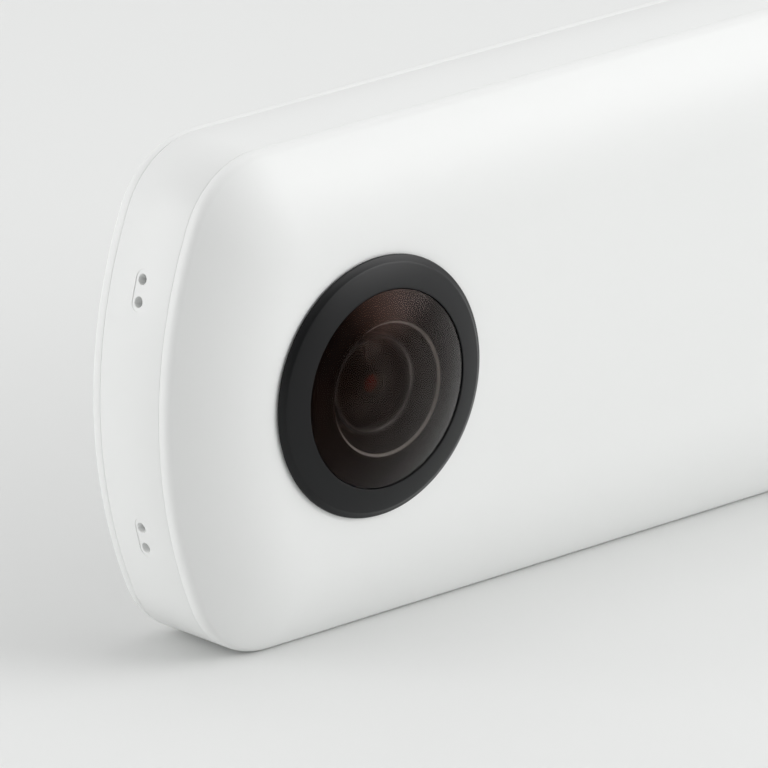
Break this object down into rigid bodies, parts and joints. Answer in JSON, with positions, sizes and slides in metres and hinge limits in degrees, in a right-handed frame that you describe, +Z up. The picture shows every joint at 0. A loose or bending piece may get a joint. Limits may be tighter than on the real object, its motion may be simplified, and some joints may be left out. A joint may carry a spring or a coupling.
{
  "type": "360 degree camera",
  "caption": "Slim white stick camera with wide-angle lenses on both faces, a shutter button, side keys and a tripod thread in its base.",
  "frame": {"origin": "centre of the body over the surface it lies on, at the key side", "axes": "+X from the lens end to the base end, +Y out of the front face with the shutter button, +Z up from the key side"},
  "size_m": [0.1306, 0.023, 0.0452],
  "materials": {
    "white_gloss_plastic": "glossy moulded white",
    "white_satin_plastic": "satin moulded white",
    "white_key_plastic": "satin moulded white",
    "black_anodised": "satin black anodised",
    "coated_dome_glass": "polished, antireflective coating",
    "coated_inner_glass": "polished, antireflective coating",
    "clear_optical_glass": "polished clear",
    "black_rubber": "matt black",
    "black_plastic": "matt black moulded",
    "sensor_package": "dark glossy package",
    "green_circuit_board": "solder-masked laminate",
    "amber_flex": "amber polyimide film",
    "black_chip": "moulded epoxy",
    "plated_steel": "bright plated",
    "nickel_insert": "nickel-plated, turned",
    "cast_chassis": "stamped and deburred",
    "battery_pouch": "film-wrapped pouch",
    "cream_plastic": "moulded",
    "tan_plunger_plastic": "moulded",
    "grey_thermal_pad": "soft matt",
    "gold_antenna": "etched foil",
    "silver_trim": "satin anodised",
    "clear_lamp_plastic": "clear moulded",
    "led_package": "matt",
    "microphone_can": "plated can"
  },
  "bodies": {
    "camera_body": {"rear_cover": "white_gloss_plastic", "front_cover": "white_gloss_plastic", "frame_band": "white_satin_plastic", "rear_bezel": "black_anodised", "front_bezel": "black_anodised", "rear_dome_lens": "coated_dome_glass", "front_dome_lens": "coated_dome_glass", "rear_lens_seal": "black_rubber", "front_lens_seal": "black_rubber", "rear_inner_ring": "black_plastic", "front_inner_ring": "black_plastic", "rear_inner_lens": "coated_inner_glass", "front_inner_lens": "coated_inner_glass", "rear_lens_barrel": "black_plastic", "front_lens_barrel": "black_plastic", "optical_block": "black_plastic", "rear_prism": "clear_optical_glass", "front_prism": "clear_optical_glass", "rear_relay_lens": "clear_optical_glass", "front_relay_lens": "clear_optical_glass", "rear_sensor": "sensor_package", "front_sensor": "sensor_package", "rear_sensor_board": "green_circuit_board", "front_sensor_board": "green_circuit_board", "sensor_screws": "plated_steel", "lens_unit_screws": "plated_steel", "rear_sensor_flex": "amber_flex", "front_sensor_flex": "amber_flex", "chassis_plate": "cast_chassis", "chassis_screws": "plated_steel", "battery_cell": "battery_pouch", "battery_connector": "cream_plastic", "main_board": "green_circuit_board", "board_screws": "plated_steel", "processor_chip": "black_chip", "thermal_pad": "grey_thermal_pad", "shield_can": "plated_steel", "memory_chip": "black_chip", "radio_module": "plated_steel", "antenna": "gold_antenna", "side_key_board": "green_circuit_board", "side_switches": "black_plastic", "shutter_ring": "silver_trim", "shutter_switch": "black_plastic", "indicator_lamps": "clear_lamp_plastic", "lamp_leds": "led_package", "mic_boots": "black_rubber", "microphones": "microphone_can", "speaker": "black_plastic", "usb_socket": "plated_steel", "usb_tongue": "black_plastic", "tripod_insert": "nickel_insert"},
    "shutter": {"shutter_button": "white_key_plastic", "shutter_plunger": "tan_plunger_plastic"},
    "power_key": {"power_button": "white_key_plastic", "power_plunger": "tan_plunger_plastic"},
    "wireless_key": {"wireless_button": "white_key_plastic", "wireless_plunger": "tan_plunger_plastic"},
    "mode_key": {"mode_button": "white_key_plastic", "mode_plunger": "tan_plunger_plastic"}
  },
  "joints": [
    {"name": "shutter_press", "type": "slide", "parent": "camera_body", "child": "shutter", "axis": [0, -1, 0], "range_m": [0, 0.0003], "stiffness_N_per_m": 2000},
    {"name": "power_press", "type": "slide", "parent": "camera_body", "child": "power_key", "axis": [0, 0, 1], "range_m": [0, 0.00025], "stiffness_N_per_m": 2000},
    {"name": "wireless_press", "type": "slide", "parent": "camera_body", "child": "wireless_key", "axis": [0, 0, 1], "range_m": [0, 0.00025], "stiffness_N_per_m": 2000},
    {"name": "mode_press", "type": "slide", "parent": "camera_body", "child": "mode_key", "axis": [0, 0, 1], "range_m": [0, 0.00025], "stiffness_N_per_m": 2000}
  ]
}
